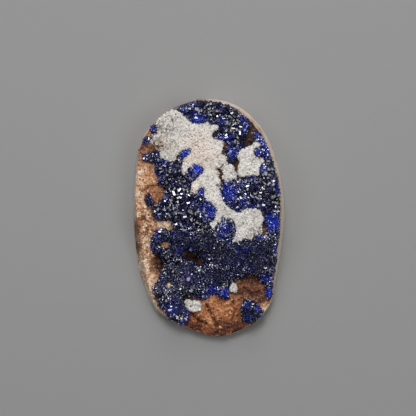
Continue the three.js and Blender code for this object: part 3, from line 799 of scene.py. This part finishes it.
azurite = {
    "voxel": 0.23,
    "sink": 0.5,
    "rounding": 2,
    "bits": (0.5, 0.35),  # size and height in mm
    "swell": 0.03,
    "gapShadeTint": 0.5,  # painted shade: of the tint of the crystals, darker in the gaps between them
    "finePerSquareMm": 21,
    "fineGap": 0.15,
    "fineSize": (0.32, 0.62),
    "fineLean": 0.4,
    "fineAmongCoarse": 0.35,  # of the fine crystals, where larger ones stand
    "coarsePerSquareMm": 5.5,
    "coarseGap": 0.34,
    "coarseSize": (0.55, 1.05),
    "coarseLean": 0.2,
    # x, y, reach and share of the larger crystals, in mm
    "coarse": [
        (-7.0, 8.0, 2.6, 1.0), (-5.8, 2.4, 3.4, 1.0), (9.6, 4.6, 3.0, 1.0), (10.6, 8.2, 1.8, 1.0),
        (0.0, 19.2, 4.0, 1.0), (5.0, 15.0, 2.6, 1.0), (9.3, 12.5, 1.8, 0.6), (-6.0, -16.4, 2.0, 0.15),
        (-5.0, -9.4, 2.0, 0.15), (2.4, -2.0, 1.6, 0.3),
    ],
    "leastSlope": -0.05,  # no crystals on faces that look down
    "topSlope": (0.3, 0.7),  # upward share of the normal, from the side of a druse to its top
    "upright": 0.8,  # how far the crystals on top stand up instead of following the crust
    "uprightSlope": (0.1, 0.5),
    "root": 0.3,  # share of a crystal's height that is in the crust
    "marginStep": 0.22,  # grid in mm on which the places beside the druses are found
    # distances from the margin in mm, over which crystals begin and reach their full size
    "fineMargin": (0.02, 0.25),
    "coarseMargin": (0.15, 0.5),
    "sizeMargin": (0.1, 0.6),
    "marginSize": 0.68,  # of the size further in
    "raggedSize": 0.5,
    "raggedReach": 0.36,
    # x, y, reach and strength of margins that grow out over the edge, in mm
    "overhang": [(-3.5, 20.2, 2.6, 1.0), (0.0, 21.0, 2.6, 1.0), (-6.0, 18.6, 1.6, 1.0),
                 (-10.2, 15.6, 1.4, 1.0)],
    "strayShare": 0.2,  # of the crystals at a margin, with another one astray on the white crust
    "strayMargin": 0.3,
    "strayReach": 0.22,
    "straySize": (0.2, 0.42),
    "strayTint": (0.15, 0.6),
    "darkTint": 0.11,
    "patchSize": 1.6,
    "patchTint": 0.1,
    "tintSpread": 0.07,
    "tintLimits": (0.02, 0.88),
    "marginTint": 0.3,
    "marginReach": 0.8,
    "marginPatches": (-0.3, 0.4),
    # x, y, reach and strength of margins without blue, in mm
    "plainMargins": [
        (-2.8, -7.2, 3.2, 1.0), (-7.7, -4.7, 1.9, 1.0), (-7.0, -11.9, 1.6, 1.0), (0.0, 21.5, 4.0, 0.8),
        (-9.5, -9.0, 3.5, 0.7), (-9.0, 3.0, 4.0, 0.6), (8.0, -10.0, 2.5, 0.7), (7.5, -16.5, 3.0, 1.0),
        (-7.5, -15.5, 3.0, 0.7), (-10.6, 10.4, 1.8, 0.5), (-10.6, 14.6, 2.5, 0.6),
    ],
    # x, y, reach and strength of the vivid blue, in mm
    "blue": [
        (-1.9, 8.6, 1.4, 0.62), (-4.2, 11.4, 1.0, 0.62), (-1.4, 4.6, 0.8, 0.5), (0.2, 1.2, 1.7, 0.42),
        (3.4, 4.4, 2.4, 0.4), (5.5, 5.6, 1.4, 0.24), (6.0, 2.8, 1.5, 0.26), (11.3, -0.8, 1.8, 0.48),
        (2.6, -2.0, 1.6, 0.33), (-1.8, 17.2, 1.3, 0.5), (6.4, 15.8, 1.2, 0.38), (2.3, 17.2, 0.9, 0.3),
        (-4.6, 18.9, 1.0, 0.28), (4.0, 11.6, 1.2, 0.4), (9.3, 13.6, 1.3, 0.45), (8.6, 11.3, 0.9, 0.4),
        (10.0, 11.5, 1.0, 0.35), (9.2, 8.8, 1.0, 0.4), (0.4, -13.3, 1.6, 0.4), (3.0, -13.2, 1.0, 0.42),
        (10.5, -13.2, 0.9, 0.5), (10.0, -10.7, 1.0, 0.35), (7.5, -16.5, 2.2, 0.1), (8.6, -15.9, 0.7, 0.38),
        (6.9, -17.6, 0.6, 0.38), (6.6, -15.6, 0.6, 0.3), (-7.0, -16.5, 2.2, 0.2), (-9.3, -3.7, 0.9, 0.25),
        (-10.0, 15.6, 1.2, 0.28), (-3.0, -10.5, 3.0, 0.14), (-7.6, -11.8, 2.4, 0.16), (6.0, -6.5, 6.0, 0.1),
        (-5.0, -4.5, 4.5, 0.1),
    ],
    # x, y, reach in mm and count of near-white crystals among the blue ones, partly pale grains and partly
    # painted glints
    "paleGrainsAndGlints": [(10.4, 6.9, 0.9, 14), (9.6, 7.1, 0.4, 4), (-5.2, -17.4, 0.6, 10), (-4.1, -17.8, 0.4, 5),
                   (-1.5, -9.1, 0.4, 6), (4.4, 17.0, 0.5, 7), (-9.0, 2.1, 0.3, 4), (-7.4, -13.0, 0.5, 4)],
    "paleSize": (0.25, 0.45),
    # x, y, reach in mm and added roughness, where the crystals are finest
    "velvet": [
        (-5.0, -4.0, 3.0, 0.055), (-1.0, -5.0, 3.0, 0.055), (3.5, -7.0, 3.5, 0.06), (8.5, -6.5, 3.5, 0.07),
        (-4.5, -10.0, 2.6, 0.1), (0.5, -10.5, 2.5, 0.06), (-7.8, -12.5, 2.4, 0.1), (-6.0, -16.2, 2.0, 0.06),
    ],
    # x, y, reach and strength of the calm parts, where even, upright crystals seldom glint, in mm
    "calm": [
        (-5.0, -4.7, 2.9, 1.0), (-1.0, -5.0, 3.0, 1.0), (3.5, -7.0, 3.5, 1.0), (8.5, -6.5, 3.5, 1.0),
        (-3.8, -10.0, 2.6, 0.9), (-8.6, -4.0, 1.8, 0.8), (1.5, -10.5, 2.5, 0.8), (7.5, -16.5, 2.4, 0.85),
        (-7.5, -11.0, 2.6, 0.85), (-6.2, -16.0, 2.4, 0.8),
    ],
    "calmBlue": 0.6,  # blue of this strength is calm too
    "calmGain": 1.8,
    "calmLean": 0.85,  # what calm takes from the lean, the size and the spread of the tints
    "calmSize": 0.1,
    "calmSpread": 0.6,
    "calmUpright": 0.95,
    "flatFrom": (0.3, 0.8),  # only flat-topped crystals where it is calmer than a value between these
}

azuriteNodes = ["azurite_main", "azurite_crown", "azurite_rosette", "azurite_speck_west",
                "azurite_nub_west"]


def makeMarginTree(azuriteTrees):
    # places on the bare rock and the white crust, to find how far inside a druse a crystal stands
    low, high = cadBox
    step = azurite["marginStep"] * mm
    bare = []
    for x in np.arange(low.x, high.x, step):
        for y in np.arange(low.y, high.y, step):
            if all(heightUnder(tree, x, y) is None for tree in azuriteTrees):
                bare.append((x, y, 0))
    margin = KDTree(len(bare))
    for i, place in enumerate(bare):
        margin.insert(place, i)
    margin.balance()
    return margin


def makeAzurite(rng, rockTree, whiteTrees):
    material = makeAzuriteMaterial()
    azuriteTrees = [treeOf(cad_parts[node]) for node in azuriteNodes]
    margin = makeMarginTree(azuriteTrees)

    def insideOf(points):
        return np.array([margin.find((x, y, 0))[2] for x, y, _ in points]) / mm

    def tintsOf(points):
        patches = noiseAt(points, azurite["patchSize"])
        atMargin = azurite["marginTint"] * np.exp(-(insideOf(points) / azurite["marginReach"]) ** 2)
        plain = spotValues(points, azurite["plainMargins"])
        atMargin *= smoothStep(*azurite["marginPatches"], patches) * (1 - plain)
        blue = np.maximum(atMargin, spotValues(points, azurite["blue"]))
        return azurite["darkTint"] + azurite["patchTint"] * patches + blue

    def roughOf(points):
        return azuriteLook["roughness"] + spotValues(points, azurite["velvet"])

    def inSight(centres, normals):
        bare = np.array([z > (heightUnder(rockTree, x, y) or 0) for x, y, z in centres])
        return bare * (normals[:, 2] > azurite["leastSlope"])

    def fineShare(centres, normals):
        among = azurite["fineAmongCoarse"] - 1
        onTop = smoothStep(*azurite["topSlope"], normals[:, 2])
        ragged = azurite["raggedReach"] * noiseAt(centres, azurite["raggedSize"])
        margins = 1 - onTop * (1 - smoothStep(*azurite["fineMargin"], insideOf(centres) + ragged))
        margins = np.maximum(margins, spotValues(centres, azurite["overhang"]))
        return inSight(centres, normals) * margins * (1 + among * spotValues(centres, azurite["coarse"]))

    def coarseShare(centres, normals):
        coarse = spotValues(centres, azurite["coarse"])
        coarse = coarse * smoothStep(*azurite["coarseMargin"], insideOf(centres))
        return inSight(centres, normals) * coarse

    def calmAt(places):
        blue = spotValues(places, azurite["blue"]) / azurite["calmBlue"]
        calm = np.maximum(spotValues(places, azurite["calm"]), blue)
        return np.clip(azurite["calmGain"] * calm, 0, 1)

    def standUp(normals, calm):
        share = np.maximum(azurite["upright"], azurite["calmUpright"] * calm)
        share = share * smoothStep(*azurite["uprightSlope"], normals[:, 2])
        return normals + share[:, None] * (np.array((0, 0, 1)) - normals)

    def growth(places):
        # smaller crystals at a margin
        further = smoothStep(*azurite["sizeMargin"], insideOf(places))
        return azurite["marginSize"] + (1 - azurite["marginSize"]) * further

    def loose(count, lean):
        # frames of crystals that lie on what is under them
        return leaningFrames(np.tile((0.0, 0.0, 1.0), (count, 1)), lean, rng)

    def astray(places):
        # places on the white crust close to the margin
        near = insideOf(places) < azurite["strayMargin"]
        places = places[near & (rng.random(len(places)) < azurite["strayShare"])]
        found = []
        for x, y in places[:, :2] + rng.normal(0, azurite["strayReach"] * mm, (len(places), 2)):
            heights = [heightUnder(tree, x, y) for tree in whiteTrees]
            heights = [height for height in heights if height is not None]
            if heights and all(heightUnder(tree, x, y) is None for tree in azuriteTrees):
                found.append((x, y, max(heights)))
        return np.array(found).reshape(-1, 3)

    def palesOn(obj):
        places = placesInSpots(treeOf(obj), azurite["paleGrainsAndGlints"], rng)
        if len(places) == 0:
            return []
        sizes = rng.uniform(*azurite["paleSize"], len(places))
        frames = loose(len(places), azurite["fineLean"])
        kinds = rng.integers(0, len(coarseShapes), len(places))
        # near-white tint: partly pale grains, partly painted glints
        values = {"tint": np.ones(len(places)), "rough": roughOf(places)}
        return [copiesOf(obj.name + "_pale", coarseShapes, places, frames, sizes, values, kinds)]

    def crystalsOn(obj, layer, shapes, share):
        density = azurite[layer + "PerSquareMm"]
        places, normals = spreadPoints(obj, rng, density, azurite[layer + "Gap"], share)
        if len(places) == 0:
            return []
        calm = calmAt(places)
        lean = azurite[layer + "Lean"] * (1 - azurite["calmLean"] * calm)
        frames = leaningFrames(standUp(normals, calm), lean[:, None], rng)
        sizes = rng.uniform(*azurite[layer + "Size"], len(places)) * (1 - azurite["calmSize"] * calm)
        sizes *= growth(places)
        spread = azurite["tintSpread"] * (1 - azurite["calmSpread"] * spotValues(places, azurite["calm"]))
        tints = tintsOf(places) + rng.normal(0, 1, len(places)) * spread
        kinds = rng.integers(0, len(shapes), len(places))
        if layer == "fine":
            flat = calm > rng.uniform(*azurite["flatFrom"], len(places))
            kinds = np.where(flat, 2 + kinds % 2, kinds)  # the last two shapes have flat tops
            strays = astray(places)
            if len(strays):
                places = np.concatenate([places, strays])
                frames = np.concatenate([frames, loose(len(strays), azurite["fineLean"])])
                kinds = np.concatenate([kinds, rng.integers(0, len(shapes), len(strays))])
                sizes = np.concatenate([sizes, rng.uniform(*azurite["straySize"], len(strays))])
                tints = np.concatenate([tints, rng.uniform(*azurite["strayTint"], len(strays))])
        heights = np.array([shape.dimensions.z for shape in shapes])[kinds] * sizes * mm
        places = places - frames[:, :, 2] * (azurite["root"] * heights)[:, None]
        values = {"tint": np.clip(tints, *azurite["tintLimits"]), "rough": roughOf(places)}
        return [copiesOf(obj.name + "_" + layer, shapes, places, frames, sizes, values, kinds)]

    fineShapes = [
        wedgeShape("blade", (0.6, 1.1, 0.45), 0.0, 0.55, 0.06),
        wedgeShape("splinter", (0.42, 1.2, 0.4), 0.0, 0.75, -0.05),
        wedgeShape("flake", (0.55, 0.9, 0.5), 0.55, 0.7, 0.1),
        wedgeShape("stub", (0.6, 0.75, 0.55), 0.35, 0.5, -0.1),
    ]
    coarseShapes = [
        cutShape("tablet", (0.5, 0.95, 0.85),
                 [((0.03, 0, 0.78), (0.28, 0, 0.96)), ((0, 0.32, 0.7), (0, 0.8, 0.6)),
                  ((0, -0.3, 0.7), (0, -0.7, 0.7)), ((-0.12, 0, 0.76), (-0.7, 0, 0.7))]),
        cutShape("prism", (0.55, 0.8, 0.85),
                 [((0, 0, 0.78), (0.3, 0.1, 0.95)), ((0, 0, 0.78), (-0.3, 0, 0.95)),
                  ((0, 0.28, 0.7), (0, 0.85, 0.52))]),
    ]
    for node in azuriteNodes:
        obj = copyOfNode(node, node.replace("azurite", "azurite_druse"))
        sinkUnderside(obj, azurite["sink"])
        applyModifier(obj, "REMESH", mode="VOXEL", voxel_size=azurite["voxel"] * mm)
        applyModifier(obj, "SMOOTH", factor=0.5, iterations=azurite["rounding"])
        applyModifier(obj, "DISPLACE", strength=azurite["swell"] * mm, mid_level=0)
        displace(obj, node + "_bits", *azurite["bits"], noise_basis="VORONOI_F1")
        # painted shade in the gaps between the crystals: the crust under them takes a darker tint
        writeValue(obj.data, "tint", azurite["gapShadeTint"] * tintsOf(readPoints(obj.data)))
        writeValue(obj.data, "rough", roughOf(readPoints(obj.data)))
        layers = palesOn(obj)
        layers += crystalsOn(obj, "coarse", coarseShapes, coarseShare)
        layers += crystalsOn(obj, "fine", fineShapes, fineShare)
        joinInto(obj, layers)
        finishPiece(obj, node, material)
        print(obj.name, len(obj.data.polygons), "faces")
    for shape in fineShapes + coarseShapes:
        bpy.data.objects.remove(shape)


# stage, light and camera

stage = {"floor": "#919191", "floorSize": 3.0, "floorDrop": 0.01, "roughness": 0.95, "world": 0.03}

lights = [
    # name, place in mm, size in mm, brightness
    ("key", (-15, 210, 430), 190, 12.6),
    ("northSoft", (20, 390, 280), 340, 2.2),
    ("westSoft", (-270, 50, 450), 290, 2.5),
    ("eastSoft", (270, 20, 450), 290, 3.1),
    ("southSoft", (20, -230, 450), 150, 1.2),
]

view = {"x": -0.19, "y": 1.7, "height": 1200.0, "across": 73.56, "sensor": 36.0}  # all in mm


def makeStage():
    bpy.ops.object.select_all(action="DESELECT")
    bpy.ops.mesh.primitive_plane_add(size=stage["floorSize"], location=(0, 0, -stage["floorDrop"] * mm))
    floor = bpy.context.object
    floor.name = "floor"
    material, _, shader = newMaterial("matt_paper")
    shader.inputs["Base Color"].default_value = hexToLinear(stage["floor"])
    shader.inputs["Roughness"].default_value = stage["roughness"]
    floor.data.materials.append(material)
    world = bpy.data.worlds.new("studio")
    world.use_nodes = True
    background = world.node_tree.nodes["Background"]
    background.inputs["Strength"].default_value = stage["world"]
    background.inputs["Color"].default_value = (1, 1, 1, 1)
    bpy.context.scene.world = world
    for name, place, size, brightness in lights:
        lamp = bpy.data.lights.new(name, "AREA")
        lamp.shape = "DISK"
        lamp.size = size * mm
        lamp.energy = brightness * (math.pi * lamp.size / 2) ** 2  # as bright at any size
        holder = bpy.data.objects.new(name, lamp)
        holder.location = Vector(place) * mm
        holder.rotation_euler = (-holder.location).to_track_quat("-Z", "Y").to_euler()
        bpy.context.collection.objects.link(holder)
    print("stage,", len(lights), "lights")


def makeCamera():
    camera = bpy.data.objects.new("camera", bpy.data.cameras.new("camera"))
    camera.data.sensor_width = view["sensor"]
    camera.data.lens = view["sensor"] * view["height"] / view["across"]
    camera.data.clip_end = 10
    camera.location = Vector((view["x"], view["y"], view["height"])) * mm
    bpy.context.collection.objects.link(camera)
    bpy.context.scene.camera = camera
    bpy.context.scene.view_settings.view_transform = "Standard"
    print("camera", view["height"], "mm above the back")


rockPiece = makeRock(np.random.default_rng(5))
whiteTrees = makeWhiteCrusts(np.random.default_rng(7))
makeAzurite(np.random.default_rng(23), treeOf(rockPiece), whiteTrees)
makeStage()
makeCamera()
